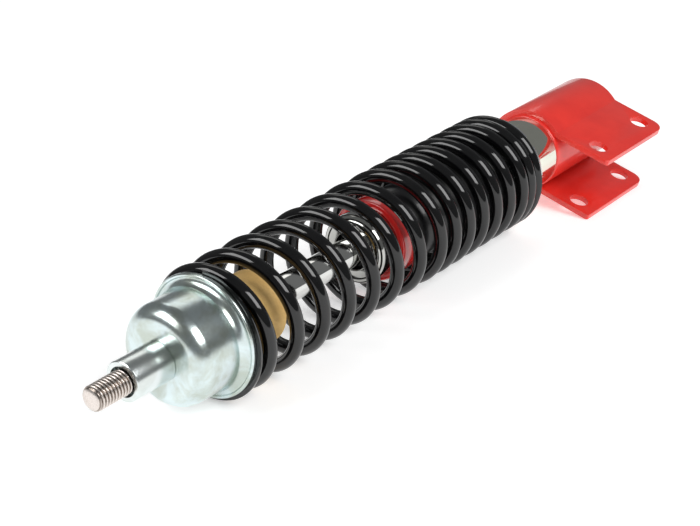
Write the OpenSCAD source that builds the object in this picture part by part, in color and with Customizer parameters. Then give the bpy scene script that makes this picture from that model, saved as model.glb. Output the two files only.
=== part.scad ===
// Coil-over scooter damper: threaded stud and bell cup at one end, a two-lug bracket at the other.
// The damper axis is the X axis. X = 0 is the seating face of the stud end, +X runs to the bracket,
// +Z is up, and the damper lies on a table on its spring and on the edge of the lower lug.

/* [Stud and sleeve nut] */
// Thread diameter of the stud (M10)
stud_d = 10; // [8:0.5:12]
// Length of stud that stands out of the sleeve nut
stud_len = 15.8; // [10:0.5:40]
// Wall of the zinc-plated sleeve nut around the stud's thread
sleeve_wall = 3; // [2.4:0.1:5]

/* [Bell cup] */
// Distance from the seating face to the front of the cup's rim
cup_rim_x = 42.1; // [40:0.1:60]
// Depth of the bell, from its rim to its flat face
bell_depth = 23.1; // [18:0.1:25]
// Outside diameter of the bell body
bell_d = 41; // [36:0.5:43]
// Radius of the bell's rounded shoulder
bell_shoulder = 6.8; // [3:0.1:8]
// Sheet thickness of the cup
cup_sheet = 1.6; // [1:0.1:2]
// How far the spring's outside stands beyond the cup's rim
rim_inset = 1.8; // [0.5:0.1:2.2]

/* [Spring] */
// Length of the spring between its two seats
spring_len = 198.5; // [190:0.1:260]
// Wire diameter
wire_d = 5.8; // [4.8:0.1:7]
// Closed turns, ground flat, at the cup end
near_turns = 1; // [0.8:0.05:1.2]
// Closed turns, ground flat, at the collar end
far_turns = 2.1; // [0.9:0.05:2.4]
// Open, wide turns on the cup side
wide_turns = 7.1; // [6:0.1:8.5]
// Closer turns on the bracket side
tight_turns = 6.3; // [5:0.1:7.5]
// Pitch of the closer turns
tight_pitch = 10.86; // [8.6:0.01:12.5]
// Radial clearance between the spring and the collar's hub
spring_hub_gap = 0.9; // [0.5:0.1:2]

/* [Damper] */
// Diameter of the piston rod
rod_d = 12.5; // [11:0.5:15]
// Outside diameter of the damper tube
tube_d = 30; // [28:0.5:36]
// Wall thickness of the damper tube
tube_wall = 1.5; // [1.2:0.1:2]
// Distance from the cup's rim to the rolled end of the damper tube
tube_gap = 92; // [76:0.5:96]
// Diameter of the bump stop
bump_d = 30; // [25:0.5:32]
// How far the bump stop stands out of the cup's rim
bump_out = 32; // [18:0.5:36]

/* [Preload adjuster] */
// Distance from the damper tube's rolled end to the lock ring
lock_back = 12.5; // [6:0.5:20]
// Length of the lock ring
lock_len = 11; // [5:0.5:14]
// Wall of the red lock ring around the tube
lock_wall = 2.8; // [2.2:0.1:3.6]
// Wall of the black adjuster sleeve around the tube
thread_wall = 2; // [1.8:0.1:2.6]
// Wall of the collar's hub around the threaded sleeve
hub_wall = 3.05; // [2.4:0.05:4]
// How far the spring's outside stands beyond the collar and its seat ring
seat_inset = 2.1; // [1:0.1:2.6]
// Thickness of the collar's flange
collar_flange = 3; // [2:0.1:4]
// Length of the collar's threaded hub, which reaches inside the spring
collar_hub = 12; // [8:0.5:16]

/* [Bracket] */
// Distance from the spring's far seat to the front edge of the bracket
neck_len = 31; // [24:0.1:60]
// Wall thickness of the ring inside the bracket
boss_wall = 2.6; // [2.2:0.1:3.5]
// How far that ring stands out in front of the strap
boss_out = 1.5; // [0.5:0.1:4]
// Thickness of the strap
strap_sheet = 2.6; // [2.2:0.1:4]
// Length of the strap along the damper
strap_len = 56; // [52:0.5:70]
// Distance between the outer faces of the two lugs
lug_outer = 33; // [31:0.5:39]
// Distance from the damper axis to the lugs' outer edge
lug_reach = 40; // [38:0.5:50]
// Distance from the damper axis to the bolt holes
hole_reach = 30; // [28:0.5:32]
// Distance between the two bolt holes along the damper
hole_pitch = 40; // [30:0.5:42]
// Diameter of the bolt holes (M8 bolts)
hole_d = 9; // [7.5:0.1:11]

/* [Hidden] */

// Running and assembly clearances
run_gap = 0.05;       // radial, between a turning or sliding pair
face_gap = 0.1;       // axial, between faces that turn on each other
free_gap = 0.3;       // between pieces that must never touch
facets = 96;          // segments of a turned piece
arc_steps = 10;       // points on a quarter of a rounded profile

// Radii that several pieces share
stud_r = stud_d / 2;
sleeve_r = stud_r + sleeve_wall;
rod_r = rod_d / 2;
tube_r = tube_d / 2;
bore_r = tube_r - tube_wall;
thread_r = tube_r + thread_wall;
lock_r = tube_r + lock_wall;
hub_r = thread_r + run_gap + hub_wall;
spring_r = hub_r + spring_hub_gap + wire_d;
coil_r = spring_r - wire_d / 2;
seat_r = spring_r - seat_inset;
rim_r = spring_r - rim_inset;
boss_r = tube_r + boss_wall;

// Stations along the damper, in order from the stud to the bracket
relief_len = 6;                                  // plain neck behind the stud's thread
face_x = cup_rim_x - bell_depth;                 // the nut clamps the cup's flat face here
rod_shoulder_x = face_x + cup_sheet + 1.5;       // full rod diameter starts behind the washer
seat_near_x = cup_rim_x + cup_sheet;             // cup side spring seat
bump_end_x = cup_rim_x + bump_out;
stroke = tube_gap - bump_out - 0.5;              // the bump stop then reaches the tube
tube_x = cup_rim_x + tube_gap;                   // rolled end of the damper tube
seat_far_x = seat_near_x + spring_len;           // bracket side spring seat
strap_x = seat_far_x + neck_len;
boss_x = strap_x - boss_out;
strap_end_x = strap_x + strap_len;

// Head of the damper: wiper, seal and guide inside the rolled tube end
roll_r = 6;                                      // outside radius of the rolled lip
lip_r = rod_r + 2;                             // opening left by the rolled lip
head_x = tube_x + 4;                             // inside face behind the thick rolled end
wiper_len = 3;
seal_len = 5;
guide_len = 12;
seal_x = head_x + wiper_len;
guide_x = seal_x + seal_len;
guide_end_x = guide_x + guide_len;
bush_wall = 1;
bush_r = rod_r + bush_wall;
o_ring_r = 1.2;
o_ring_bite = 0.25;                              // how far a ring groove is shallower than its cord

// Piston and what is on the rod, at full extension
topout_len = 4;
spigot_r = 4;
shim_r = 8.5;
shim_len = 1.2;
piston_len = 10;
band_depth = 1;
band_inset = 2;
nut_len = 6.5;
stop_len = 1.5;
topout_x = guide_end_x + free_gap;
stop_x = topout_x + topout_len;
rebound_x = stop_x + stop_len;
piston_x = rebound_x + shim_len;
compression_x = piston_x + piston_len;
nut_x = compression_x + shim_len;
rod_end_x = nut_x + nut_len + 1;

// Gas side: separator piston and welded end plug
plug_len = 12;
separator_len = 12;
separator_gap = 6;                               // left between nut and separator at full bump
tube_end_x = strap_end_x - 2;
plug_x = tube_end_x - plug_len;
separator_x = rod_end_x + stroke + separator_gap;

// Adjuster stack on the tube
lock_x = tube_x + lock_back;
thread_x = lock_x + lock_len;
washer_len = 1;
collar_x = seat_far_x + washer_len + face_gap;   // front face of the collar's flange
collar_end_x = collar_x + collar_flange;
spacer_x = collar_end_x + 1.5;                   // black sleeve meets the chrome spacer
notch_count = 8;
notch_w = 5;
notch_depth = 2.4;

// Bracket, turned about the damper axis until the lower lug's edge is level with the spring
lug_face = lug_outer / 2;
bracket_roll = asin(spring_r / norm([lug_reach, lug_face])) - atan2(lug_face, lug_reach);
strap_r = boss_r + strap_sheet;
hole_inset = (strap_len - hole_pitch) / 2;
corner_r = 6;
front_corner_r = 1.5;

// Places a shape that was turned about Z so that it is turned about X
module along_x() { rotate([0, 90, 0]) children(); }

// A turned piece from [x, r] points
module turned(points) {
    along_x() rotate_extrude($fn = facets) polygon([for (p = points) [p[1], p[0]]]);
}

// A plain tube between two stations
module pipe(x0, x1, inner, outer) {
    turned([[x0, inner], [x1, inner], [x1, outer], [x0, outer]]);
}

// A tube with small chamfers on its outer edges
module chamfered_pipe(x0, x1, inner, outer, c) {
    turned([[x0, inner], [x1, inner], [x1, outer - c], [x1 - c, outer], [x0 + c, outer], [x0, outer - c]]);
}

// [x, r] points of an arc about (cx, cr), angles from the +x direction
function arc(cx, cr, r, a0, a1, n = arc_steps) =
    [for (i = [0:n]) let (a = a0 + (a1 - a0) * i / n) [cx + r * cos(a), cr + r * sin(a)]];

// ---- Rod side ----

// Piston rod with its stud, thread relief, shoulders and threaded spigot
module piston_rod() {
    tip = -stud_len;
    c = 1.5;
    relief_r = stud_r - 0.6;
    color("gainsboro") turned([
        [tip, 0], [tip, stud_r - c], [tip + c, stud_r], [0, stud_r],
        [0, relief_r], [relief_len, relief_r], [relief_len, stud_r],
        [rod_shoulder_x, stud_r], [rod_shoulder_x, rod_r - 0.5], [rod_shoulder_x + 0.5, rod_r],
        [stop_x, rod_r], [stop_x, spigot_r],
        [rod_end_x - 0.8, spigot_r], [rod_end_x, spigot_r - 0.8], [rod_end_x, 0]
    ]);
}

// Sleeve nut that clamps the cup: open bore at its mouth, thread behind it
module sleeve_nut() {
    mouth_r = stud_r + 0.9;
    c = 0.4;
    color("lightsteelblue") turned([
        [0, mouth_r], [relief_len, mouth_r], [relief_len, stud_r], [face_x, stud_r],
        [face_x, sleeve_r - 0.3], [face_x - 0.3, sleeve_r],
        [c, sleeve_r], [0, sleeve_r - c]
    ]);
}

// Bell-shaped upper spring cup, pressed from one sheet with a flat face and a rolled rim
module spring_cup() {
    t = cup_sheet;
    bell_r = bell_d / 2;
    shoulder_x = face_x + bell_shoulder;
    shoulder_r = bell_r - bell_shoulder;
    fillet = 3.5;
    lip = 0.8;
    outer = concat(
        [[face_x, stud_r]],
        arc(shoulder_x, shoulder_r, bell_shoulder, 180, 90),
        [[cup_rim_x - fillet - 4, bell_r]],
        arc(cup_rim_x - fillet, bell_r + fillet, fillet, -90, 0, 6),
        [[cup_rim_x, rim_r - 2 * lip], [cup_rim_x - lip, rim_r - lip], [cup_rim_x - lip, rim_r - 0.3]],
        [[cup_rim_x - lip + 0.3, rim_r], [seat_near_x - 0.3, rim_r], [seat_near_x, rim_r - 0.3]]
    );
    inner = concat(
        [[seat_near_x, bell_r + fillet]],
        arc(cup_rim_x - fillet, bell_r + fillet, fillet + t, 0, -90, 6),
        [[shoulder_x, bell_r - t]],
        arc(shoulder_x, shoulder_r, bell_shoulder - t, 90, 180),
        [[face_x + t, stud_r]]
    );
    color("lightcyan") turned(concat(outer, inner));
}

// Thick washer between the cup and the rod's shoulder
module cup_washer() {
    color("silver") pipe(face_x + cup_sheet, rod_shoulder_x, stud_r, rod_r + 5);
}

// Foam bump stop on the rod, waisted where it starts to fold
module bump_stop() {
    r = bump_d / 2;
    x0 = rod_shoulder_x + 0.5;
    groove_x = cup_rim_x - 4;
    color("goldenrod") turned([
        [x0, rod_r], [bump_end_x, rod_r], [bump_end_x, r - 1.5],
        [bump_end_x - 1.5, r], [groove_x + 3, r], [groove_x, r - 2], [groove_x - 3, r],
        [x0 + 4, r], [x0 + 1, r - 2.5], [x0, r - 5]
    ]);
}

// Rubber ring that cushions the rod at full extension
module topout_stop() {
    color("dimgray") chamfered_pipe(topout_x, stop_x, rod_r, rod_r + 4, 0.8);
}

// Washer against the rod's inner shoulder, which carries the top-out stop
module stop_washer() {
    color("darkgray") pipe(stop_x, rebound_x, spigot_r, rod_r + 2.6);
}

// A stack of four spring shims, the widest against the piston
module shim_stack(x, wide_end) {
    n = 4;
    for (i = [0:n - 1])
        pipe(x + i * shim_len / n, x + (i + 1) * shim_len / n, spigot_r, shim_r - 0.7 * abs(i - wide_end));
}
module rebound_shims() { color("steelblue") shim_stack(rebound_x, 3); }
module compression_shims() { color("steelblue") shim_stack(compression_x, 0); }

// Piston with oil ports and a groove for its band
module piston() {
    r = bore_r - run_gap - 0.1;
    port_r = 1.3;
    port_ring_r = (spigot_r + shim_r) / 2 + 0.4;
    color("slategray") difference() {
        turned([
            [piston_x, spigot_r], [compression_x, spigot_r], [compression_x, r - 0.5], [compression_x - 0.5, r],
            [compression_x - band_inset, r], [compression_x - band_inset, r - band_depth],
            [piston_x + band_inset, r - band_depth], [piston_x + band_inset, r],
            [piston_x + 0.5, r], [piston_x, r - 0.5]
        ]);
        for (a = [0:60:300]) rotate([a, 0, 0])
            translate([piston_x - 1, 0, port_ring_r])
                along_x() cylinder(r = port_r, h = piston_len + 2, $fn = 24);
    }
}

// Slide band in the piston's groove
module piston_band() {
    color("saddlebrown") pipe(piston_x + band_inset, compression_x - band_inset,
        bore_r - run_gap - 0.1 - band_depth, bore_r - run_gap);
}

// Nut that holds the shims and the piston
module piston_nut() {
    color("silver") difference() {
        translate([nut_x, 0, 0]) along_x() cylinder(d = 14.5, h = nut_len, $fn = 6);
        translate([nut_x - 1, 0, 0]) along_x() cylinder(r = spigot_r, h = nut_len + 2, $fn = facets);
    }
}

// ---- Spring ----

// Pitch of the wire after t turns, with short ramps between closed, wide and close turns
ramp = 0.3;
all_turns = near_turns + wide_turns + tight_turns + far_turns;
wide_pitch = (spring_len + wire_d / 2 - (near_turns + far_turns) * wire_d - tight_turns * tight_pitch) / wide_turns;
function step_up(t, at) = let (s = min(1, max(0, (t - at) / ramp + 0.5))) s * s * (3 - 2 * s);
function pitch_at(t) = wire_d
    + (wide_pitch - wire_d) * step_up(t, near_turns)
    + (tight_pitch - wide_pitch) * step_up(t, near_turns + wide_turns)
    + (wire_d - tight_pitch) * step_up(t, all_turns - far_turns);

// Wire centre stations, one for each step around the coil
turn_steps = 30;
wire_sides = 10;
start_angle = 90;
step_count = round(all_turns * turn_steps);
step_turn = all_turns / step_count;
raw_x = [for (i = 0, x = 0; i <= step_count; x = x + pitch_at((i + 0.5) * step_turn) * step_turn, i = i + 1) x];
centre_x = let (
        first = seat_near_x + face_gap - wire_d / 4,
        span = spring_len - 2 * face_gap + wire_d / 2
    ) [for (x = raw_x) first + x * span / raw_x[step_count]];

// One ring of points around the wire, cut off flat at the two seats
function wire_ring(i) =
    let (
        a = start_angle + 360 * i * step_turn,
        slope = (centre_x[min(step_count, i + 1)] - centre_x[max(0, i - 1)])
            / (2 * PI * coil_r * step_turn * (min(step_count, i + 1) - max(0, i - 1))),
        lean = atan(slope)
    )
    [for (k = [0:wire_sides - 1])
        let (
            b = 360 * k / wire_sides,
            out = wire_d / 2 * cos(b),
            side = wire_d / 2 * sin(b),
            x = centre_x[i] + side * cos(lean),
            r = coil_r + out,
            turned_back = -side * sin(lean)
        )
        [min(seat_far_x - face_gap, max(seat_near_x + face_gap, x)),
         r * cos(a) - turned_back * sin(a),
         r * sin(a) + turned_back * cos(a)]
    ];

// Progressive coil spring with closed and ground ends
module coil_spring() {
    points = [for (i = [0:step_count]) each wire_ring(i)];
    sides = [for (i = [0:step_count - 1], k = [0:wire_sides - 1])
        let (a = i * wire_sides, b = a + wire_sides, m = (k + 1) % wire_sides)
        each [[a + k, b + k, b + m], [a + k, b + m, a + m]]];
    near_end = [for (k = [0:wire_sides - 1]) k];
    far_end = [for (k = [wire_sides - 1:-1:0]) step_count * wire_sides + k];
    color("#151515") polyhedron(concat(points), concat(sides, [near_end, far_end]), convexity = 20);
}

// Steel seat ring between the spring and the preload collar
module spring_seat() {
    color("silver") pipe(seat_far_x, seat_far_x + washer_len, hub_r + run_gap, seat_r);
}

// ---- Damper body ----

// Damper tube, its rod end rolled over the wiper
module damper_tube() {
    color("silver") turned(concat(
        [[tube_x, lip_r]],
        arc(tube_x + roll_r, tube_r - roll_r, roll_r, 180, 90),
        [[tube_end_x, tube_r], [tube_end_x, bore_r], [head_x, bore_r], [head_x, lip_r]]
    ));
}

module dust_wiper() {
    color("#222222") turned([
        [head_x, bore_r], [head_x, rod_r + 1.8], [head_x - 1.2, rod_r + 0.9], [head_x - 1.2, rod_r + run_gap],
        [seal_x, rod_r + run_gap], [seal_x, bore_r]
    ]);
}

module oil_seal() { color("#333333") pipe(seal_x, guide_x, rod_r + run_gap, bore_r); }

// Sintered rod guide with a groove for its O-ring and a bore for the bush
module rod_guide() {
    mid = (guide_x + guide_end_x) / 2;
    depth = 2 * o_ring_r - o_ring_bite;
    color("darkslategray") turned([
        [guide_x, bush_r], [guide_end_x, bush_r], [guide_end_x, bore_r - 0.8], [guide_end_x - 0.8, bore_r],
        [mid + o_ring_r + 0.2, bore_r], [mid + o_ring_r + 0.2, bore_r - depth],
        [mid - o_ring_r - 0.2, bore_r - depth], [mid - o_ring_r - 0.2, bore_r], [guide_x, bore_r]
    ]);
}

module guide_bush() { color("peru") pipe(guide_x, guide_end_x, rod_r + run_gap, bush_r); }

// A rubber ring in its groove, flattened against the bore
module o_ring(x) {
    depth = 2 * o_ring_r - o_ring_bite;
    color("black") turned([for (p = arc(x, bore_r - depth / 2, o_ring_r, 0, 350, 35))
        [p[0], min(bore_r, max(bore_r - depth, p[1]))]]);
}
module guide_o_ring() { o_ring((guide_x + guide_end_x) / 2); }

// Floating piston between the oil and the gas
module separator_piston() {
    r = bore_r - run_gap - 0.1;
    mid = separator_x + separator_len / 2;
    depth = 2 * o_ring_r - o_ring_bite + run_gap + 0.1;
    floor_len = 4;
    color("lightslategray") turned([
        [separator_x, 0], [separator_x, r - 0.8], [separator_x + 0.8, r],
        [mid - o_ring_r - 0.2, r], [mid - o_ring_r - 0.2, bore_r - 2 * o_ring_r + o_ring_bite],
        [mid + o_ring_r + 0.2, bore_r - 2 * o_ring_r + o_ring_bite], [mid + o_ring_r + 0.2, r],
        [separator_x + separator_len - 0.8, r], [separator_x + separator_len, r - 0.8],
        [separator_x + separator_len, r - 3.5], [separator_x + floor_len, r - 4.5], [separator_x + floor_len, 0]
    ]);
}
module separator_o_ring() { o_ring(separator_x + separator_len / 2); }

// End plug, pressed in and welded, with a tapped gas port
module end_plug() {
    color("silver") turned([
        [plug_x, 3], [tube_end_x, 3], [tube_end_x, bore_r], [plug_x + 1, bore_r], [plug_x, bore_r - 1]
    ]);
}

module gas_screw() {
    color("dimgray") turned([
        [plug_x + 3, 0], [plug_x + 3, 2.2], [plug_x + 4, 3], [tube_end_x, 3], [tube_end_x, 5.2],
        [tube_end_x + 1.4, 5.2], [tube_end_x + 1.8, 4.8], [tube_end_x + 1.8, 0]
    ]);
}

// Red lock ring that holds the adjuster sleeve from the rod end
module lock_ring() { color("red") chamfered_pipe(lock_x, thread_x, tube_r, lock_r, 0.6); }

// Black sleeve on the tube that the preload collar is screwed on
module adjuster_sleeve() { color("#1c1c1c") chamfered_pipe(thread_x, spacer_x, tube_r, thread_r, 0.5); }

// Chrome tube that fills the space between the adjuster sleeve and the bracket
module spacer_tube() { color("silver") pipe(spacer_x, boss_x, tube_r, thread_r); }

// Preload collar: notched flange for a hook spanner and a threaded hub inside the spring
module preload_collar() {
    hub_x = collar_x - collar_hub;
    color("silver") difference() {
        turned([
            [hub_x, thread_r + run_gap], [collar_end_x, thread_r + run_gap],
            [collar_end_x, seat_r - 0.4], [collar_end_x - 0.4, seat_r], [collar_x, seat_r],
            [collar_x, hub_r], [hub_x + 0.6, hub_r], [hub_x, hub_r - 0.6]
        ]);
        for (a = [0:360 / notch_count:359]) rotate([a, 0, 0])
            translate([collar_x - 1, -notch_w / 2, seat_r - notch_depth])
                cube([collar_flange + 2, notch_w, notch_depth + 5]);
    }
}

// ---- Bracket ----

// Ring welded between the damper tube and the strap, behind the adjuster sleeve
module bracket_boss() { color("red") chamfered_pipe(boss_x, strap_end_x, tube_r, boss_r, 0.5); }

// Cross section of the strap: a wrap around the boss that runs into two straight lugs, along +Y
module strap_outline() {
    bend = 2.5;
    bed = 0.4;                                   // left for the round seat, which is cut afterwards
    inner = lug_face - strap_sheet;
    // The wrap meets a concave bend of the strap's outer face, tangent to both
    outer_r = strap_r;
    bend_z = lug_face + bend;
    bend_y = sqrt(pow(outer_r + bend, 2) - pow(bend_z, 2));
    a = atan2(bend_z, bend_y);
    upper_out = concat(
        [for (i = [0:24]) let (t = 180 - (180 - a) * i / 24) outer_r * [cos(t), sin(t)]],
        [for (i = [1:8]) let (t = a + 180 + (90 - a) * i / 8) [bend_y, bend_z] + bend * [cos(t), sin(t)]],
        [[lug_reach, lug_face], [lug_reach, inner]]
    );
    // The inner face follows the same two arcs, one sheet thickness further in
    upper_in = concat(
        [for (i = [0:8]) let (t = 270 - (90 - a) * i / 8)
            [bend_y, bend_z] + (bend + strap_sheet) * [cos(t), sin(t)]],
        [for (i = [0:24]) let (t = a + (180 - a) * i / 24) (boss_r - bed) * [cos(t), sin(t)]]
    );
    upper = concat(upper_out, upper_in);
    lower_out = [for (i = [len(upper_out) - 1:-1:0]) [upper_out[i][0], -upper_out[i][1]]];
    lower_in = [for (i = [len(upper_in) - 1:-1:0]) [upper_in[i][0], -upper_in[i][1]]];
    polygon(concat(upper_out, upper_in, [for (i = [1:len(lower_in) - 1]) lower_in[i]],
        [for (i = [0:len(lower_out) - 2]) lower_out[i]]));
}

// Side view of one lug, used to round the strap's corners
module corner_cut(x, y, sx, r) {
    translate([x, y, -lug_outer]) difference() {
        translate([sx > 0 ? -r : -1, -r, 0]) cube([r + 1, r + 1, 2 * lug_outer]);
        translate([-sx * r, -r, -1]) cylinder(r = r, h = 2 * lug_outer + 2, $fn = 64);
    }
}

module bracket_strap() {
    color("red") rotate([bracket_roll, 0, 0]) mirror([0, 1, 0]) difference() {
        translate([strap_x, 0, 0]) rotate([90, 0, 90]) linear_extrude(height = strap_len) strap_outline();
        for (x = [strap_x + hole_inset, strap_x + hole_inset + hole_pitch])
            translate([x, hole_reach, -lug_outer]) cylinder(d = hole_d, h = 2 * lug_outer, $fn = 64);
        translate([strap_x - 1, 0, 0]) along_x() cylinder(r = boss_r, h = strap_len + 2, $fn = facets);
        corner_cut(strap_end_x, lug_reach, 1, corner_r);
        corner_cut(strap_x, lug_reach, -1, front_corner_r);
    }
}

piston_rod();
sleeve_nut();
spring_cup();
cup_washer();
bump_stop();
stop_washer();
topout_stop();
rebound_shims();
piston();
piston_band();
compression_shims();
piston_nut();
coil_spring();
spring_seat();
preload_collar();
damper_tube();
dust_wiper();
oil_seal();
rod_guide();
guide_bush();
guide_o_ring();
separator_piston();
separator_o_ring();
end_plug();
gas_screw();
lock_ring();
adjuster_sleeve();
spacer_tube();
bracket_boss();
bracket_strap();
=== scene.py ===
import math

import bmesh
import bpy
from mathutils import Matrix, Vector
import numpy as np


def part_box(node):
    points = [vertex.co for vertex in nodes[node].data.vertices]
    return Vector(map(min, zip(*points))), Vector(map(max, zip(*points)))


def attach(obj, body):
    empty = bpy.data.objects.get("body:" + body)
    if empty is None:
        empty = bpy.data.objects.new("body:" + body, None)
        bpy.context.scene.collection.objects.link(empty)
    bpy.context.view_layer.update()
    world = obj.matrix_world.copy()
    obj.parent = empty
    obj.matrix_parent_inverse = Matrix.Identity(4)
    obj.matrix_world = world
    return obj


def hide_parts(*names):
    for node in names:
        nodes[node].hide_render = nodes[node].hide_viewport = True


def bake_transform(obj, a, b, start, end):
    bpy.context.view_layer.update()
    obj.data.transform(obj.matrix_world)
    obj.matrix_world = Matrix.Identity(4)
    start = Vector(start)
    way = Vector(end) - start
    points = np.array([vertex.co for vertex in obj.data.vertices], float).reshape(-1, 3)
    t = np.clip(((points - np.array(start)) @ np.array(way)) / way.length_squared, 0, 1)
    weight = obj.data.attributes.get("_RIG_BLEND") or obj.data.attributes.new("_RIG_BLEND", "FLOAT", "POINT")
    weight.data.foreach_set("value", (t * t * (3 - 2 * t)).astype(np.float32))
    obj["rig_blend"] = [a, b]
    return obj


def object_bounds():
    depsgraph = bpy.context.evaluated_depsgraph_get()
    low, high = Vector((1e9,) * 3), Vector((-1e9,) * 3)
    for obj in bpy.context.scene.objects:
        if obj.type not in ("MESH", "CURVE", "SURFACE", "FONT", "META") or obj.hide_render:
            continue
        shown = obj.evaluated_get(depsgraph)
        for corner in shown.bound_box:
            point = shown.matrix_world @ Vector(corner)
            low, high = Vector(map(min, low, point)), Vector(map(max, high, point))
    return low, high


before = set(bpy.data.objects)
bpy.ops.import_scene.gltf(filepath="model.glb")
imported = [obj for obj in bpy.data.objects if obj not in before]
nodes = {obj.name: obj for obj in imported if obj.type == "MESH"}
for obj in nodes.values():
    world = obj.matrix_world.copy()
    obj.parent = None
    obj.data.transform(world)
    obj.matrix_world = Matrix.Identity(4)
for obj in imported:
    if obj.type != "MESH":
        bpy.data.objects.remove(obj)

cad_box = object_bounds()
scene = bpy.context.scene
MM = 0.001
TAU = 2 * math.pi


# ---------------------------------------------------------------- camera and studio

SENSOR_WIDTH, FOCAL_LENGTH = 36.0, 82.94         # millimetres
NEAR_CLIP, FAR_CLIP = 0.01, 50
CAMERA_PLACE = (-0.3459, -0.3566, 0.2809)
CAMERA_BACK = (-0.7237, -0.5384, 0.4317)         # from the subject towards the camera


def look_at(thing, target):
    """Turns a light so that it points at a place."""
    away = thing.location - Vector(target)
    thing.rotation_euler = away.to_track_quat("Z", "Y").to_euler()


def add_camera():
    lens = bpy.data.cameras.new("camera")
    lens.sensor_width, lens.lens = SENSOR_WIDTH, FOCAL_LENGTH
    lens.clip_start, lens.clip_end = NEAR_CLIP, FAR_CLIP
    camera = bpy.data.objects.new("camera", lens)
    camera.location = CAMERA_PLACE
    camera.rotation_euler = Vector(CAMERA_BACK).normalized().to_track_quat("Z", "Y").to_euler()
    scene.collection.objects.link(camera)
    scene.camera = camera


def add_softbox(name, place, target, width, height, radiance, tint=(1, 1, 1)):
    """A rectangular studio light whose face has the given brightness."""
    lamp = bpy.data.lights.new(name, "AREA")
    lamp.shape, lamp.size, lamp.size_y = "RECTANGLE", width, height
    lamp.energy = radiance * math.pi * width * height
    lamp.color = tint
    light = bpy.data.objects.new(name, lamp)
    light.location = place
    look_at(light, target)
    scene.collection.objects.link(light)


add_camera()
add_softbox("softbox_front", (0.12, -0.90, 0.85), (0.12, 0, 0), 0.95, 0.62, 6.2)
add_softbox("softbox_left", (-0.70, 0.46, 0.74), (0.05, 0, 0), 0.75, 0.55, 5.6)
add_softbox("softbox_back", (0.95, 0.75, 0.95), (0.20, 0, 0), 0.8, 0.5, 1.2, (1.0, 0.99, 0.96))

scene.view_settings.view_transform = "Standard"
scene.view_settings.look = "None"


# ---------------------------------------------------------------- shader wiring

class Value:
    """A number inside a shader: arithmetic on it adds Math nodes."""

    def __init__(self, finish, socket):
        self.finish, self.socket = finish, socket

    def math(self, operation, first, second):
        return self.finish.node("ShaderNodeMath", {"operation": operation}, [first, second]).value()

    def __add__(self, other): return self.math("ADD", self, other)
    def __radd__(self, other): return self.math("ADD", other, self)
    def __sub__(self, other): return self.math("SUBTRACT", self, other)
    def __rsub__(self, other): return self.math("SUBTRACT", other, self)
    def __mul__(self, other): return self.math("MULTIPLY", self, other)

    def between(self, low, high):
        """0 below low, 1 above high, smooth in between."""
        settings = {"interpolation_type": "SMOOTHSTEP", "clamp": True}
        sockets = {"Value": self, "From Min": low, "From Max": high}
        return self.finish.node("ShaderNodeMapRange", settings, sockets).value()


class Node:
    """A node in a finish, whose outputs are read as values."""

    def __init__(self, finish, node):
        self.finish, self.node = finish, node

    def value(self, name=0):
        return Value(self.finish, self.node.outputs[name])


class Finish:
    """One procedural material, built node by node."""

    def __init__(self, name):
        self.material = bpy.data.materials.new(name)
        self.material.use_nodes = True
        self.tree = self.material.node_tree
        self.shader = self.tree.nodes["Principled BSDF"]

    def node(self, kind, settings=None, sockets=None):
        """Adds a node. Sockets are given as a list in their order, or as a dict by name."""
        made = self.tree.nodes.new(kind)
        for key, setting in (settings or {}).items():
            setattr(made, key, setting)
        sockets = dict(enumerate(sockets)) if isinstance(sockets, list) else (sockets or {})
        for key, given in sockets.items():
            self.feed(made.inputs[key], given)
        return Node(self, made)

    def feed(self, socket, given):
        """Links a value to a socket, or writes a plain number or colour into it."""
        if isinstance(given, Value):
            self.tree.links.new(given.socket, socket)
        elif isinstance(given, (tuple, list)) and len(given) == 3 and socket.type == "RGBA":
            socket.default_value = (*given, 1)
        else:
            socket.default_value = given

    def set(self, **sockets):
        for key, given in sockets.items():
            self.feed(self.shader.inputs[key.replace("_", " ")], given)

    def place(self):
        return self.node("ShaderNodeTexCoord").value("Object")

    def parts(self, place):
        split = self.node("ShaderNodeSeparateXYZ", {}, [place])
        return split.value("X"), split.value("Y"), split.value("Z")

    def joined(self, x, y, z):
        return self.node("ShaderNodeCombineXYZ", {}, [x, y, z]).value()

    def axis_radius(self):
        """Place along the X axis, and distance from it."""
        x, y, z = self.parts(self.place())
        return x, self.node("ShaderNodeMath", {"operation": "SQRT"}, [y * y + z * z]).value()

    def noise(self, place, scale, detail=3.0, roughness=0.55, distortion=0.0):
        sockets = {"Vector": place, "Scale": scale, "Detail": detail, "Roughness": roughness,
                   "Distortion": distortion}
        return self.node("ShaderNodeTexNoise", {}, sockets).value("Fac")

    def cells(self, place, scale):
        sockets = {"Vector": place, "Scale": scale}
        return self.node("ShaderNodeTexVoronoi", {"feature": "F1"}, sockets).value("Distance")

    def mix(self, factor, first, second):
        made = self.node("ShaderNodeMix", {"data_type": "RGBA", "blend_type": "MIX"})
        a, b = [s for s in made.node.inputs if s.type == "RGBA"]
        self.feed(made.node.inputs[0], factor)
        self.feed(a, first)
        self.feed(b, second)
        return Value(self, [s for s in made.node.outputs if s.type == "RGBA"][0])

    def bump(self, height, distance):
        sockets = {"Height": height, "Distance": distance, "Strength": 1.0}
        self.feed(self.shader.inputs["Normal"], self.node("ShaderNodeBump", {}, sockets).value("Normal"))
        return self

    def edge_sheen_mask(self, radius):
        """1 on outer edges and corners, 0 on open faces."""
        rounded = self.node("ShaderNodeBevel", {"samples": 4}, {"Radius": radius}).value("Normal")
        plain = self.node("ShaderNodeNewGeometry").value("Normal")
        dot = self.node("ShaderNodeVectorMath", {"operation": "DOT_PRODUCT"}, [rounded, plain])
        return (1 - dot.value("Value")).between(0.01, 0.12)


# ---------------------------------------------------------------- finishes

OIL_TINT = (0.35, 0.30, 0.22)


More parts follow.
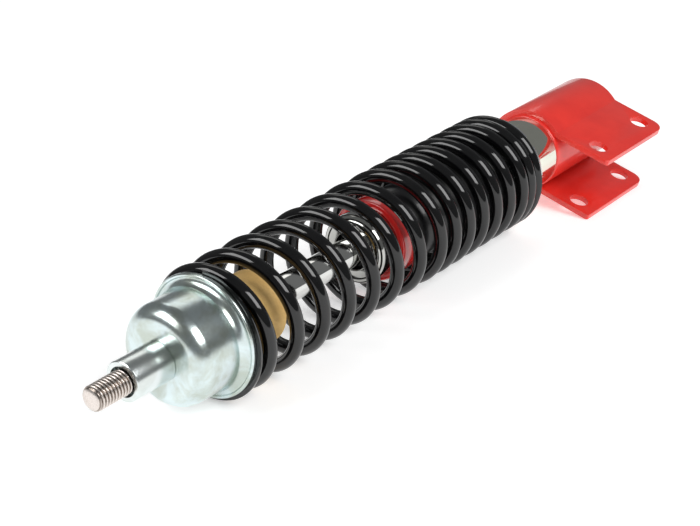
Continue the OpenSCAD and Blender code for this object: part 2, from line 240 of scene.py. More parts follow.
def zinc(name, tint, shade, rough, spangle=1.0, turned=0.0):
    """Bright zinc plate: cool, faintly clouded and flecked, with fine tool marks where it was turned."""
    f = Finish(name)
    place = f.place()
    clouds = f.noise(place, 90, 4, 0.6, 0.6)
    flecks = f.cells(place, 1400)
    fine = f.noise(place, 2600, 2)
    stain = f.noise(place, 210, 5, 0.7).between(0.66, 0.78)
    base = f.mix(clouds.between(0.35, 0.68), tint, shade)
    base = f.mix(stain * 0.35, base, (0.42, 0.36, 0.27))
    grain = flecks * 0.06 * spangle + fine * 0.05
    height = flecks * 0.5 * spangle + fine * 0.5
    if turned:
        x, _, _ = f.parts(place)
        marks = f.noise(f.joined(x * 5200, 0.0, 0.0), 1.0, 2)
        height = height + marks * turned
        grain = grain + marks * 0.05 * turned
    f.set(Base_Color=base, Metallic=1.0, Roughness=rough + grain + clouds * 0.05)
    return f.bump(height, 0.000004).material


def chrome(name, tint, rough, marks=0.0):
    """Hard chrome: nearly a mirror, with a trace of long polishing marks."""
    f = Finish(name)
    x, _, _ = f.parts(f.place())
    haze = f.noise(f.place(), 70, 4)
    lines = f.noise(f.joined(x * 3500, 0.0, 0.0), 1.0, 2)
    base = f.mix(haze.between(0.4, 0.7), tint, tuple(0.93 * c for c in tint))
    f.set(Base_Color=base, Metallic=1.0, Roughness=rough + haze * 0.04 + lines * marks * 0.05)
    return f.bump(lines * marks + haze * 0.2, 0.000003).material


def plated_thread(name):
    """Nickel-bright rolled thread: warm crests, darker roots."""
    f = Finish(name)
    _, radius = f.axis_radius()
    crest = (1 - radius.between(0.0040, 0.0042)) + radius.between(0.0043, 0.0049)
    grime = f.noise(f.place(), 800, 3)
    base = f.mix(crest, (0.26, 0.22, 0.19), (0.66, 0.60, 0.56))
    base = f.mix(grime.between(0.5, 0.75) * 0.35, base, (0.40, 0.33, 0.28))
    f.set(Base_Color=base, Metallic=1.0, Roughness=0.20 + grime * 0.16)
    return f.bump(grime, 0.00001).material


def coat(name, colour, deep, rough, peel=1.0, dust_and_sheen=(0.5, 0.5, 0.5), clear=1.0):
    """Glossy powder coat: orange peel, slight pooling of colour, a little dust and a thin painted highlight
    along the edges.
    """
    f = Finish(name)
    place = f.place()
    waves = f.noise(place, 420, 2, 0.5)
    broad = f.noise(place, 45, 3)
    dust = f.noise(place, 3800, 2).between(0.70, 0.80)
    base = f.mix(broad.between(0.35, 0.7), colour, deep)
    base = f.mix(dust * 0.06, base, dust_and_sheen)
    # Painted highlight: a thin lighter band along every edge, in the same colour as the dust.
    base = f.mix(f.edge_sheen_mask(0.0004) * 0.10, base, dust_and_sheen)
    f.set(Base_Color=base, Roughness=rough + broad * 0.06 + dust * 0.1)
    f.set(Coat_Weight=clear, Coat_Roughness=0.06, IOR=1.5)
    return f.bump(waves * peel + f.noise(place, 1500, 2) * 0.12 * peel, 0.00003).material


def spring_coat(name):
    """Deep black gloss on the wire, with orange peel and a little dust."""
    f = Finish(name)
    place = f.node("ShaderNodeTexCoord").value("UV")
    waves = f.noise(place, 1.0, 3, 0.5)
    fine = f.noise(place, 6.0, 2)
    dust = f.noise(place, 14.0, 3).between(0.68, 0.80)
    base = f.mix(waves.between(0.35, 0.65), (0.0022, 0.0022, 0.0026), (0.0036, 0.0036, 0.0038))
    base = f.mix(dust * 0.03, base, (0.20, 0.20, 0.19))
    f.set(Base_Color=base, Roughness=0.06 + fine * 0.03 + dust * 0.08, IOR=1.52)
    return f.bump(waves + fine * 0.05, 0.000004).material


def foam(name):
    """Ochre microcellular foam: matt and finely pored, with painted shade in the pits of the pores."""
    f = Finish(name)
    place = f.place()
    pores = f.cells(place, 2300).between(0.10, 0.45)
    patches = f.noise(place, 120, 4)
    base = f.mix(patches.between(0.3, 0.7), (0.82, 0.54, 0.20), (0.72, 0.45, 0.15))
    # Painted shade: the pits of the pores are darkened.
    base = f.mix((1 - pores) * 0.35, base, (0.30, 0.17, 0.05))
    f.set(Base_Color=base, Roughness=0.62 + patches * 0.2)
    return f.bump(pores + patches * 0.6, 0.00006).material


def rubber(name):
    """Black rubber with a faint grey bloom."""
    f = Finish(name)
    place = f.place()
    bloom = f.noise(place, 160, 4)
    base = f.mix(bloom.between(0.4, 0.75), (0.012, 0.012, 0.012), (0.030, 0.030, 0.029))
    f.set(Base_Color=base, Roughness=0.42 + bloom * 0.2)
    return f.bump(f.noise(place, 2400, 2), 0.00001).material


def machined(name, tint, rough):
    """Turned metal with rings of tool marks and a thin oily film."""
    f = Finish(name)
    x, radius = f.axis_radius()
    rings = f.noise(f.joined(x * 4200, radius * 4200, 0.0), 1.0, 2)
    film = f.noise(f.place(), 150, 4).between(0.45, 0.75)
    base = f.mix(film * 0.3, tint, tuple(a * b * 2 for a, b in zip(tint, OIL_TINT)))
    f.set(Base_Color=base, Metallic=1.0, Roughness=rough + rings * 0.12)
    return f.bump(rings, 0.000006).material


def matt(name, tint, shade, rough):
    """Plain matt moulding or sintered metal with a fine grain."""
    f = Finish(name)
    grain = f.noise(f.place(), 500, 4)
    f.set(Base_Color=f.mix(grain.between(0.3, 0.7), tint, shade), Roughness=rough + grain * 0.15)
    return f.bump(grain, 0.00002).material


FINISHES = {
    "cup_zinc": zinc("cup_zinc", (0.62, 0.71, 0.72), (0.47, 0.52, 0.47), 0.15),
    "nut_zinc": zinc("nut_zinc", (0.70, 0.745, 0.745), (0.60, 0.64, 0.62), 0.16, 0.5, 0.5),
    "collar_zinc": zinc("collar_zinc", (0.76, 0.78, 0.78), (0.64, 0.66, 0.66), 0.16, 0.4, 0.8),
    "rod_chrome": chrome("rod_chrome", (0.66, 0.66, 0.64), 0.05, 0.4),
    "tube_chrome": chrome("tube_chrome", (0.44, 0.44, 0.42), 0.06, 0.2),
    "stud_nickel": plated_thread("stud_nickel"),
    "spring_black": spring_coat("spring_black"),
    "bracket_red": coat("bracket_red", (0.80, 0.034, 0.022), (0.71, 0.026, 0.018), 0.30, 1.0,
                        (0.9, 0.35, 0.3), 0.5),
    "ring_red": coat("ring_red", (0.78, 0.018, 0.016), (0.66, 0.012, 0.011), 0.2, 0.5, (0.7, 0.2, 0.2)),
    "sleeve_black": coat("sleeve_black", (0.006, 0.006, 0.007), (0.004, 0.004, 0.004), 0.34, 0.3,
                         (0.1, 0.1, 0.1), 0.2),
    "sleeve_chrome": chrome("sleeve_chrome", (0.80, 0.80, 0.70), 0.05, 0.25),
    "bump_foam": foam("bump_foam"),
    "seal_rubber": rubber("seal_rubber"),
    "steel": machined("steel", (0.46, 0.47, 0.49), 0.24),
    "aluminium": machined("aluminium", (0.66, 0.67, 0.69), 0.28),
    "bronze": machined("bronze", (0.60, 0.40, 0.20), 0.3),
    "sintered": matt("sintered", (0.16, 0.16, 0.17), (0.10, 0.10, 0.11), 0.5),
    "slide_band": matt("slide_band", (0.18, 0.10, 0.05), (0.13, 0.07, 0.035), 0.4),
}


# ---------------------------------------------------------------- mesh building

LONGEST_CUT = 0.49                               # share of a side that a rounded corner may use


def new_piece(name, mesh, finish, body, covers=()):
    """A visible piece on a body; covers are the solids that it stands in for."""
    mesh.materials.append(FINISHES[finish])
    piece = bpy.data.objects.new(name, mesh)
    scene.collection.objects.link(piece)
    if body:
        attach(piece, body)
    if covers:
        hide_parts(*covers)
    return piece


def smooth_faces(mesh, limit=32):
    """Smooth shading that keeps edges sharper than the limit."""
    work = bmesh.new()
    work.from_mesh(mesh)
    bmesh.ops.recalc_face_normals(work, faces=work.faces)
    for face in work.faces:
        face.smooth = True
    for edge in work.edges:
        edge.smooth = len(edge.link_faces) == 2 and edge.calc_face_angle(0) < math.radians(limit)
    work.to_mesh(mesh)
    work.free()
    return mesh


def rounded(points, closed=True, steps=4):
    """Rounds the corners of an [x, r] outline. A third number is the corner's radius."""
    count, out = len(points), []
    for i, point in enumerate(points):
        here, size = Vector(point[:2]), (point[2] if len(point) > 2 else 0)
        if not size or (not closed and i in (0, count - 1)):
            out.append(tuple(here))
            continue
        before = Vector(points[i - 1][:2]) - here
        after = Vector(points[(i + 1) % count][:2]) - here
        turn = before.angle(after)
        cut = min(size / math.tan(turn / 2), LONGEST_CUT * before.length, LONGEST_CUT * after.length)
        radius = cut * math.tan(turn / 2)
        inward = (before.normalized() + after.normalized()).normalized()
        middle = here + inward * (radius / math.sin(turn / 2))
        start, end = here + before.normalized() * cut, here + after.normalized() * cut
        first, last = start - middle, end - middle
        sweep = math.atan2(first.x * last.y - first.y * last.x, first.dot(last))
        for k in range(steps + 1):
            spin = Matrix.Rotation(sweep * k / steps, 2)
            out.append(tuple(middle + spin @ first))
    return out


def turned(points, closed=True, segments=144, ripple=None):
    """A mesh turned about the X axis from an [x, r] outline in millimetres."""
    work = bmesh.new()
    rings = []
    for x, r in points:
        if r < 1e-6:
            rings.append([work.verts.new((x * MM, 0, 0))])
            continue
        ring = []
        for k in range(segments):
            a = TAU * k / segments
            rr = ripple(x, r, a) if ripple else r
            ring.append(work.verts.new((x * MM, rr * math.cos(a) * MM, rr * math.sin(a) * MM)))
        rings.append(ring)
    pairs = list(zip(rings, rings[1:])) + ([(rings[-1], rings[0])] if closed else [])
    for a, b in pairs:
        for k in range(segments):
            m = (k + 1) % segments
            corners = [a[k % len(a)], a[m % len(a)], b[m % len(b)], b[k % len(b)]]
            corners = list(dict.fromkeys(corners))
            if len(corners) > 2:
                work.faces.new(corners)
    mesh = bpy.data.meshes.new("turned")
    work.to_mesh(mesh)
    work.free()
    return mesh


def turned_piece(name, points, finish, body, covers, closed=True, segments=144, steps=4):
    mesh = smooth_faces(turned(rounded(points, closed, steps), closed, segments))
    new_piece(name, mesh, finish, body, covers)


def arc(x, r, radius, start, end, steps):
    """Points of an arc about [x, r], from one angle in degrees to another."""
    angles = [math.radians(start + (end - start) * i / steps) for i in range(steps + 1)]
    return [(x + radius * math.cos(a), r + radius * math.sin(a)) for a in angles]


def limits(node):
    """A node's box in millimetres."""
    low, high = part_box(node)
    return low / MM, high / MM


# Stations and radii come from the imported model
rod_low, rod_high = limits("piston_rod")
_, nut_high = limits("sleeve_nut")
cup_low, cup_high = limits("spring_cup")
foam_low, foam_high = limits("bump_stop")
coil_low, coil_high = limits("coil_spring")
seat_low, seat_high = limits("spring_seat")
collar_low, collar_high = limits("preload_collar")
tube_low, tube_high = limits("damper_tube")
lock_low, lock_high = limits("lock_ring")
sleeve_low, sleeve_high = limits("adjuster_sleeve")
boss_low, boss_high = limits("bracket_boss")
strap_low, strap_high = limits("bracket_strap")
spacer_low, spacer_high = limits("spacer_tube")
plug_low, plug_high = limits("end_plug")
_, washer_high = limits("cup_washer")
stop_low, _ = limits("stop_washer")
_, topout_high = limits("topout_stop")

STUD_R, STUD_BORE_R, NECK_R, SPIGOT_R = 5.0, 4.95, 4.9, 4.0
THREAD_END = 6.0                                 # where the nut's wide mouth ends
THREAD_PITCH = 1.5                               # of the stud and of the adjuster
TOPOUT_WALL = 4.0
GAP = 0.02                                       # kept between a ring and what it sits on
SEAT_CORNER = 0.3
rod_r = topout_high.z - TOPOUT_WALL
shoulder_x = washer_high.x


# ---------------------------------------------------------------- rod side

CREST_FLAT, THREAD_FLANK = 0.16, 0.68            # shares of half a pitch
SOFT_SHARE = 0.35                                # how far the flanks are rounded


def thread_radius(x, a, crest, depth):
    """Radius of a 60 degree thread with flat crests and rounded roots."""
    turn = (x / THREAD_PITCH - a / TAU) % 1.0
    near = abs(turn - 0.5) * 2                   # 1 at the root, 0 at the crest
    share = min(1.0, max(0.0, (near - CREST_FLAT) / THREAD_FLANK))
    soft = (1 - math.cos(math.pi * share)) / 2
    return crest - depth * soft * SOFT_SHARE - depth * share * (1 - SOFT_SHARE)


def stud_thread():
    """Threaded stud with a chamfered tip, running back into the nut."""
    tip, end = rod_low.x, 0.4
    chamfer, depth, ring_step, face_r = 1.5, 0.86, 0.11, 4.0
    crest = STUD_R - 0.06
    count = int((end - tip) / ring_step)
    stations = [tip + (end - tip) * i / count for i in range(count + 1)]

    def ripple(x, r, a):
        if r < face_r:
            return r
        cone = STUD_R - chamfer + (x - tip) + 0.1
        limit = crest if x < 0 else crest - 0.2
        return min(thread_radius(x, a, crest, depth), cone, limit)

    face = [(tip, 0.0), (tip + 0.01, 1.2), (tip + 0.05, 2.4), (tip + 0.16, 3.1), (tip + 0.30, 3.45)]
    body = [(x, STUD_R) for x in stations if x > tip + 0.45]
    inside = [(end, STUD_R), (THREAD_END, STUD_R), (THREAD_END, 0.0)]
    mesh = turned(face + body + inside, False, 96, ripple)
    new_piece("stud_thread", smooth_faces(mesh, 40), "stud_nickel", "rod_unit")


stud_thread()
turned_piece("rod_shaft", [
    (THREAD_END, 0), (THREAD_END, NECK_R), (shoulder_x, NECK_R), (shoulder_x, rod_r, 0.4),
    (stop_low.x, rod_r), (stop_low.x, SPIGOT_R), (rod_high.x, SPIGOT_R, 0.7), (rod_high.x, 0)],
    "rod_chrome", "rod_unit", ("piston_rod",), closed=False)

nut_r = nut_high.z
turned_piece("sleeve_nut_turned", [
    (0.0, 5.9, 0.15), (5.0, 5.85, 0.8), (THREAD_END, STUD_BORE_R), (nut_high.x, STUD_BORE_R),
    (nut_high.x, nut_r - 0.3), (nut_high.x - 0.3, nut_r, 0.1), (0.4, nut_r, 0.15),
    (0.0, nut_r - 0.4, 0.15)],
    "nut_zinc", "rod_unit", ("sleeve_nut",), steps=3)


def bell_cup():
    """Pressed bell with a flat face, a flared shoulder and a rolled rim."""
    body, shoulder, flare, sheet = 20.5, 6.8, 3.5, 1.6
    rim_r, rim_x, back, face = cup_high.z, cup_high.x - sheet, cup_high.x, cup_low.x
    outer = [(face, STUD_R), (face, body - shoulder - 1.2), (face + 0.03, body - shoulder - 0.5)]
    outer += arc(face + shoulder, body - shoulder, shoulder, 178, 92, 24)
    outer += [(rim_x - 10, body + 0.02), (rim_x - 4.2, body + 0.1)]
    outer += arc(rim_x - flare, body + flare, flare, -84, -4, 10)
    outer += [(rim_x + 0.02, rim_r - 1.75), (rim_x - 0.12, rim_r - 1.45), (rim_x - 0.55, rim_r - 1.15)]
    outer += arc(rim_x + 0.15, rim_r - 0.75, 0.72, 200, 90, 8)
    outer += [(back - 0.35, rim_r), (back - 0.08, rim_r - 0.1), (back, rim_r - 0.35)]
    inner = arc(rim_x - flare, body + flare, flare + sheet, -4, -86, 8)
    inner += arc(face + shoulder, body - shoulder, shoulder - sheet, 90, 178, 8)
    inner += [(face + sheet, STUD_R)]
    mesh = turned(outer + inner, True, 192)
    new_piece("bell_cup", smooth_faces(mesh, 38), "cup_zinc", "rod_unit", ("spring_cup",))


bell_cup()
FOAM_LOBE, FOAM_WAIST, FOAM_BACK, WAIST_DEPTH = 34.0, 38.1, 42.5, 2.2
foam_r = foam_high.z
turned_piece("bump_stop_foam", [
    (foam_low.x, rod_r + GAP), (foam_high.x, rod_r + GAP, 0.4), (foam_high.x, foam_r, 1.5),
    (FOAM_BACK, foam_r, 1.6), (FOAM_WAIST, foam_r - WAIST_DEPTH, 1.6), (FOAM_LOBE, foam_r, 1.6),
    (foam_low.x + 4, foam_r, 1.5), (foam_low.x, foam_r - 5, 1.5)],
    "bump_foam", "rod_unit", ("bump_stop",), steps=5)


# ---------------------------------------------------------------- spring

WIRE = 5.8                                       # diameter
NEAR_TURNS, WIDE_TURNS, TIGHT_TURNS, FAR_TURNS, TIGHT_PITCH = 1.0, 7.1, 6.3, 2.1, 10.86
ALL_TURNS = NEAR_TURNS + WIDE_TURNS + TIGHT_TURNS + FAR_TURNS
START_ANGLE = math.radians(90)
STEPS = 72                                       # around one turn
SIDES = 24                                       # around the wire
RAMP = 0.3                                       # turns over which the pitch changes
SEAT_PLAY = 0.2                                  # left between the spring and its two seats
SEAT_TURNS = 2.0                                 # open turns that take up the preload
TIGHT_SHARE = 0.32                               # of the stroke, taken up by the close turns
seat_near, seat_far = coil_low.x, coil_high.x
spring_r = coil_high.z
coil_r = spring_r - WIRE / 2
spring_span = seat_far - seat_near
CLOSED = (NEAR_TURNS + FAR_TURNS) * WIRE
WIDE_PITCH = (spring_span + SEAT_PLAY + WIRE / 2 - CLOSED - TIGHT_TURNS * TIGHT_PITCH) / WIDE_TURNS


def step_up(turn, at):
    """0 before a turn and 1 after it, smooth over the ramp."""
    share = min(1.0, max(0.0, (turn - at) / RAMP + 0.5))
    return share * share * (3 - 2 * share)


def pitch_at(turn):
    """Pitch of the coils at a turn: closed, wide, close, closed."""
    return (WIRE + (WIDE_PITCH - WIRE) * step_up(turn, NEAR_TURNS)
            + (TIGHT_PITCH - WIDE_PITCH) * step_up(turn, NEAR_TURNS + WIDE_TURNS)
            + (WIRE - TIGHT_PITCH) * step_up(turn, ALL_TURNS - FAR_TURNS))


def wire_stations():
    """Centre of the wire along the axis at each step, scaled to sit between the two seats."""
    count = round(ALL_TURNS * STEPS)
    raw = [0.0]
    for i in range(count):
        raw.append(raw[-1] + pitch_at((i + 0.5) / STEPS) / STEPS)
    first, span = seat_near - WIRE / 4, spring_span + WIRE / 2
    return [first + r * span / raw[-1] for r in raw]


STATIONS = wire_stations()


def wire_mesh(first, last, flat_start, flat_end):
    """The wire from one step to another, cut flat at the seats. UV is its length and girth in wire widths."""
    work = bmesh.new()
    uv = work.loops.layers.uv.new("wire")
    rings = []
    for i in range(first, last + 1):
        a = START_ANGLE + TAU * i / STEPS
        low, high = max(0, i - 1), min(len(STATIONS) - 1, i + 1)
        lean = math.atan2((STATIONS[high] - STATIONS[low]) / (high - low), TAU * coil_r / STEPS)
        ring = []
        for k in range(SIDES):
            b = TAU * k / SIDES
            out, side = WIRE / 2 * math.cos(b), WIRE / 2 * math.sin(b)
            x = STATIONS[i] + side * math.cos(lean)
            r, back = coil_r + out, -side * math.sin(lean)
            x = min(seat_far, max(seat_near, x))
            ring.append(work.verts.new((x * MM, (r * math.cos(a) - back * math.sin(a)) * MM,
                                        (r * math.sin(a) + back * math.cos(a)) * MM)))
        rings.append(ring)
    along = TAU * coil_r / STEPS / WIRE
    girth = math.pi / SIDES
    for i, (ring, after) in enumerate(zip(rings, rings[1:])):
        for k in range(SIDES):
            m = (k + 1) % SIDES
            face = work.faces.new([ring[k], after[k], after[m], ring[m]])
            places = [(i, k), (i + 1, k), (i + 1, k + 1), (i, k + 1)]
            for loop, (u, v) in zip(face.loops, places):
                loop[uv].uv = ((u + first) * along, v * girth)
    caps = ([rings[0]] if flat_start else []) + ([rings[-1]] if flat_end else [])
    for ring in caps:
        work.faces.new(ring)
    mesh = bpy.data.meshes.new("wire")
    work.to_mesh(mesh)
    work.free()
    return mesh


def share_moved(turn, shares):
    """How much of the movement has been taken up at a turn, from (turn, share) pairs."""
    for (t0, s0), (t1, s1) in zip(shares, shares[1:]):
        if turn <= t1:
            return s0 + (s1 - s0) * max(0.0, turn - t0) / (t1 - t0)
    return shares[-1][1]


def spring_piece(name, first, last, body, start, end, shares, caps):
    """Part of the wire, shared between the damper and a moving body by the turns' shares."""
    mesh = wire_mesh(first, last, *caps)
    smooth_faces(mesh, 40)
    piece = new_piece(name, mesh, "spring_black", None, ("coil_spring",))
    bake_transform(piece, "damper_body", body, start, end)
    weights = piece.data.attributes["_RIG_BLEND"].data
    for i in range(last - first + 1):
        share = share_moved((first + i) / STEPS, shares)
        for k in range(SIDES):
            weights[i * SIDES + k].value = share


# The last two open turns before the bracket take up the preload; the others take up the rod's stroke,
# with the wide turns closing further than the close ones.
join_turn = ALL_TURNS - FAR_TURNS - SEAT_TURNS
join = round(join_turn * STEPS)
rod_shares = [(0.0, 1.0), (NEAR_TURNS, 1.0), (NEAR_TURNS + WIDE_TURNS, TIGHT_SHARE), (join_turn, 0.0)]
seat_shares = [(join_turn, 0.0), (ALL_TURNS - FAR_TURNS, 1.0), (ALL_TURNS, 1.0)]
near_end, far_end = (seat_near * MM, 0, 0), (seat_far * MM, 0, 0)
spring_piece("spring_main", 0, join, "rod_unit", far_end, near_end, rod_shares, (True, False))
spring_piece("spring_end", join, len(STATIONS) - 1, "seat_unit", near_end, far_end, seat_shares,
             (False, True))


# ---------------------------------------------------------------- seat and collar

COLLAR_BORE, HUB_R, FLANGE = 17.05, 20.1, 3.0
NOTCHES, NOTCH_WIDTH, NOTCH_DEPTH, COLLAR_EDGE = 8, 5.0, 2.4, 0.3
SEAT_WIDTH = 4.4                                 # from the seat's bore to the collar's rim
seat_r, collar_r = seat_high.z, collar_high.z
seat_bore = collar_r - SEAT_WIDTH
turned_piece("seat_ring", [
    (seat_low.x, seat_bore), (seat_high.x, seat_bore), (seat_high.x, seat_r, SEAT_CORNER),
    (seat_low.x, seat_r, SEAT_CORNER)], "collar_zinc", "seat_unit", ("spring_seat",))


def notched_ring(x0, x1, bore, outer, notches, width, depth, edge):
    """A collar flange: a ring with square spanner notches, all its edges broken."""
    outline = []
    steps = 14
    half = math.asin(width / 2 / outer)
    floor_r = outer - depth
    floor_half = math.asin(width / 2 / floor_r)
    for n in range(notches):
        middle = TAU * n / notches + math.pi / 2
        outline.append((outer, middle - half))
        outline += [(floor_r, middle - floor_half), (floor_r, middle + floor_half)]
        for k in range(steps + 1):
            outline.append((outer, middle + half + (TAU / notches - 2 * half) * k / (steps + 1)))
    work = bmesh.new()
    loops = []
    for x in (x0, x1):
        outer_ring = [work.verts.new((x * MM, r * math.cos(a) * MM, r * math.sin(a) * MM))
                      for r, a in outline]
        inner_ring = [work.verts.new((x * MM, bore * math.cos(a) * MM, bore * math.sin(a) * MM))
                      for _, a in outline]
        loops.append((outer_ring, inner_ring))
    (o0, i0), (o1, i1) = loops
    for k in range(len(outline)):
        m = (k + 1) % len(outline)
        for quad in ((o0[k], o0[m], o1[m], o1[k]), (i0[k], i1[k], i1[m], i0[m]),
                     (o0[k], i0[k], i0[m], o0[m]), (o1[k], o1[m], i1[m], i1[k])):
            work.faces.new(quad)
    bmesh.ops.recalc_face_normals(work, faces=work.faces)
    sharp = [e for e in work.edges if e.calc_face_angle(0) > math.radians(40)]
    bmesh.ops.bevel(work, geom=sharp, offset=edge * MM, segments=2, affect="EDGES", profile=0.5)
    mesh = bpy.data.meshes.new("notched_ring")
    work.to_mesh(mesh)
    work.free()
    return mesh


flange_x = collar_high.x - FLANGE
hub_x = flange_x + 0.5
new_piece("collar_flange", smooth_faces(notched_ring(
    flange_x, collar_high.x, COLLAR_BORE, collar_r, NOTCHES, NOTCH_WIDTH, NOTCH_DEPTH, COLLAR_EDGE)),
    "collar_zinc", "collar_unit", ("preload_collar",))
turned_piece("collar_hub", [
    (collar_low.x, COLLAR_BORE, 0.3), (hub_x, COLLAR_BORE), (hub_x, HUB_R), (collar_low.x, HUB_R, 0.6)],
    "collar_zinc", "collar_unit", ("preload_collar",))


# ---------------------------------------------------------------- damper body

TUBE_WALL, TUBE_END, LIP_GAP = 1.5, 4.0, 2.0
THREAD_BEFORE = 14.0                             # bared in front of the collar
tube_r, lip_r = tube_high.z, rod_r + LIP_GAP
tube_bore, on_tube = tube_r - TUBE_WALL, tube_r + GAP
turned_piece("tube_shell", [
    (tube_low.x, lip_r, 0.5), (tube_low.x, tube_r, 6.0), (tube_high.x, tube_r, 0.4),
    (tube_high.x, tube_bore), (tube_low.x + TUBE_END, tube_bore), (tube_low.x + TUBE_END, lip_r)],
    "tube_chrome", "damper_body", ("damper_tube",), segments=192, steps=10)

lock_r = lock_high.z
turned_piece("lock_ring_red", [
    (lock_low.x, on_tube, 0.3), (lock_high.x, on_tube), (lock_high.x, lock_r, 0.5),
    (lock_low.x, lock_r, 0.8)],
    "ring_red", "damper_body", ("lock_ring",))


def adjuster_sleeve():
    """Black sleeve, with the preload thread cut around the collar."""
    x0, x1, crest = sleeve_low.x, sleeve_high.x, sleeve_high.z
    start, end = collar_low.x - THREAD_BEFORE, x1 - 0.1
    depth, edge, ring_step = 0.75, 0.5, 0.2
    count = int((end - start) / ring_step)

    def ripple(x, r, a):
        if abs(r - crest) > 0.01 or not start < x < end:
            return r
        ends = min(1.0, (x - start) / 1.5, (end - x) / 1.0)
        return crest - ends * (crest - thread_radius(x, a, crest, depth))

    points = [(x0, on_tube), (x0, crest - edge), (x0 + edge, crest)]
    points += [(start + (end - start) * i / count, crest) for i in range(count + 1)]
    points += [(x1 - edge, crest), (x1, crest - edge), (x1, on_tube)]
    mesh = turned(points, True, 96, ripple)
    new_piece("adjuster_sleeve_black", smooth_faces(mesh, 50), "sleeve_black", "damper_body",
              ("adjuster_sleeve",))


adjuster_sleeve()
turned_piece("spacer_chrome", [
    (spacer_low.x, on_tube), (spacer_high.x, on_tube), (spacer_high.x, spacer_high.z),
    (spacer_low.x, spacer_high.z, 0.4)],
    "sleeve_chrome", "damper_body", ("spacer_tube",), segments=192)


# ---------------------------------------------------------------- bracket

boss_r = boss_high.z
turned_piece("bracket_ring", [
    (boss_low.x, on_tube, 0.4), (boss_high.x, on_tube, 0.4), (boss_high.x, boss_r, 0.5),
    (boss_low.x, boss_r, 0.9)], "bracket_red", "damper_body", ("bracket_boss",), steps=5)

SHEET, LUG_FACE, LUG_REACH, BEND = 2.6, 16.5, 40.0, 2.5
HOLE_REACH, HOLE_R, HOLE_INSET, HOLE_STEPS = 30.0, 4.5, 8.0, 48
REAR_CORNER, FRONT_CORNER, LUG_EDGE = 6.0, 1.5, 0.45
WRAP_STEPS, BEND_STEPS = 40, 16
ROLL = math.asin(spring_r / math.hypot(LUG_REACH, LUG_FACE)) - math.atan2(LUG_FACE, LUG_REACH)


def strap_middle():
    """Middle line of the strap from the far side of the wrap to the upper lug's outer edge."""
    wrap, bend = boss_r + SHEET / 2, BEND + SHEET / 2
    bend_z = LUG_FACE + BEND
    bend_y = math.sqrt((boss_r + SHEET + BEND) ** 2 - bend_z ** 2)
    meet = math.atan2(bend_z, bend_y)
    points = []
    for i in range(WRAP_STEPS + 1):
        t = math.pi - (math.pi - meet) * i / WRAP_STEPS
        points.append((wrap * math.cos(t), wrap * math.sin(t)))
    for i in range(1, BEND_STEPS + 1):
        t = meet + math.pi + (math.pi / 2 - meet) * i / BEND_STEPS
        points.append((bend_y + bend * math.cos(t), bend_z + bend * math.sin(t)))
    return points, bend_y


def lug_plate(work, y0, z):
    """Flat lug with two bolt holes and rounded corners; returns its two corners at the bend."""
    x0, x1 = strap_low.x, strap_high.x
    outline = rounded([(x0, y0), (x0, LUG_REACH, FRONT_CORNER), (x1, LUG_REACH, REAR_CORNER), (x1, y0)],
                      steps=10)
    angles = [TAU * k / HOLE_STEPS for k in range(HOLE_STEPS)]
    loops = [outline]
    for x in (x0 + HOLE_INSET, x1 - HOLE_INSET):
        loops.append([(x + HOLE_R * math.cos(a), HOLE_REACH + HOLE_R * math.sin(a)) for a in angles])
    edges, corners = [], {}
    for loop in loops:
        verts = [work.verts.new((x, y, z)) for x, y in loop]
        for point, vert in zip(loop, verts):
            corners[point] = vert
        edges += [work.edges.new((a, b)) for a, b in zip(verts, verts[1:] + verts[:1])]
    bmesh.ops.triangle_fill(work, edges=edges, use_beauty=True, normal=(0, 0, 1))
    return corners[outline[0]], corners[outline[-1]]


def strap():
    """Strap built as a bent middle surface, then given its thickness and broken edges."""
    middle, bend_y = strap_middle()
    work = bmesh.new()
    x0, x1 = strap_low.x, strap_high.x
    lug_z = LUG_FACE - SHEET / 2
    rows = {}
    for side in (1, -1):
        near, far = lug_plate(work, bend_y, side * lug_z)
        line = [(work.verts.new((x0, y, side * z)), work.verts.new((x1, y, side * z)))
                for y, z in middle[:-1]]
        line.append((near, far))
        if side < 0:
            work.verts.remove(line[0][0])
            work.verts.remove(line[0][1])
            line[0] = rows[1][0]
        rows[side] = line
        for (a, b), (c, d) in zip(line, line[1:]):
            work.faces.new([a, b, d, c])
    bmesh.ops.recalc_face_normals(work, faces=work.faces)
    spin = Matrix.Rotation(ROLL, 4, "X") @ Matrix.Scale(-1, 4, (0, 1, 0)) @ Matrix.Scale(MM, 4)
    work.transform(spin)
    mesh = bpy.data.meshes.new("strap")
    work.to_mesh(mesh)
    work.free()
    piece = new_piece("bracket_strap_sheet", mesh, "bracket_red", "damper_body",
                      ("bracket_strap",))
    thick = piece.modifiers.new("thickness", "SOLIDIFY")
    thick.thickness, thick.offset, thick.use_even_offset = SHEET * MM, 0, True
    edge = piece.modifiers.new("edges", "BEVEL")
    edge.width, edge.segments = LUG_EDGE * MM, 3
    edge.limit_method, edge.angle_limit = "ANGLE", math.radians(50)
    bpy.context.view_layer.update()
    final = bpy.data.meshes.new_from_object(piece.evaluated_get(bpy.context.evaluated_depsgraph_get()))
    piece.modifiers.clear()
    piece.data = smooth_faces(final, 24)


strap()

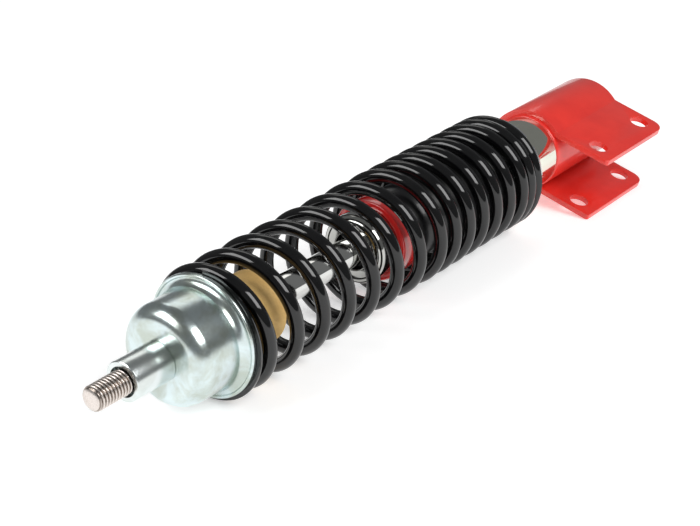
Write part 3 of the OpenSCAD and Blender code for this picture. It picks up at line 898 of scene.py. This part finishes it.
PLUG_BORE_R, PLUG_RAISED = 3.0, 0.6
plug_face = plug_high.x + PLUG_RAISED
turned_piece("rear_plug", [
    (plug_low.x, PLUG_BORE_R), (plug_face, PLUG_BORE_R), (plug_face, 6.4, 0.3), (plug_high.x, 6.8, 0.2),
    (plug_high.x, tube_bore), (plug_low.x, tube_bore)],
    "steel", "damper_body", ("end_plug",))


# ---------------------------------------------------------------- finishes of the carried-over solids

CARRIED = {
    "nut_zinc": ["cup_washer"],
    "steel": ["stop_washer", "rebound_shims", "compression_shims", "piston_nut", "gas_screw"],
    "aluminium": ["piston", "separator_piston"],
    "seal_rubber": ["topout_stop", "dust_wiper", "oil_seal", "guide_o_ring", "separator_o_ring"],
    "slide_band": ["piston_band"],
    "sintered": ["rod_guide"],
    "bronze": ["guide_bush"],
}
for finish, carried in CARRIED.items():
    for node in carried:
        mesh = nodes[node].data
        mesh.materials.clear()
        mesh.materials.append(FINISHES[finish])


# ---------------------------------------------------------------- floor and daylight

DAYLIGHT, DAYLIGHT_STRENGTH, FLOOR_GLOW = (0.97, 0.99, 1.0, 1), 0.19, 0.42


def add_floor():
    """White floor, faintly lit from itself, under the lowest point of the part."""
    work = bmesh.new()
    bmesh.ops.create_grid(work, x_segments=8, y_segments=8, size=4.0)
    mesh = bpy.data.meshes.new("floor")
    work.to_mesh(mesh)
    work.free()
    f = Finish("floor_white")
    grain = f.noise(f.place(), 60, 3)
    f.set(Base_Color=f.mix(grain, (0.93, 0.93, 0.93), (0.91, 0.91, 0.91)), Roughness=0.55)
    f.set(Emission_Color=(1.0, 1.0, 1.0), Emission_Strength=FLOOR_GLOW)
    mesh.materials.append(f.material)
    floor = bpy.data.objects.new("floor", mesh)
    floor.location.z = cad_box[0][2]
    scene.collection.objects.link(floor)


add_floor()
world = bpy.data.worlds.new("studio")
scene.world = world
world.use_nodes = True
daylight = world.node_tree.nodes["Background"]
daylight.inputs["Color"].default_value = DAYLIGHT
daylight.inputs["Strength"].default_value = DAYLIGHT_STRENGTH
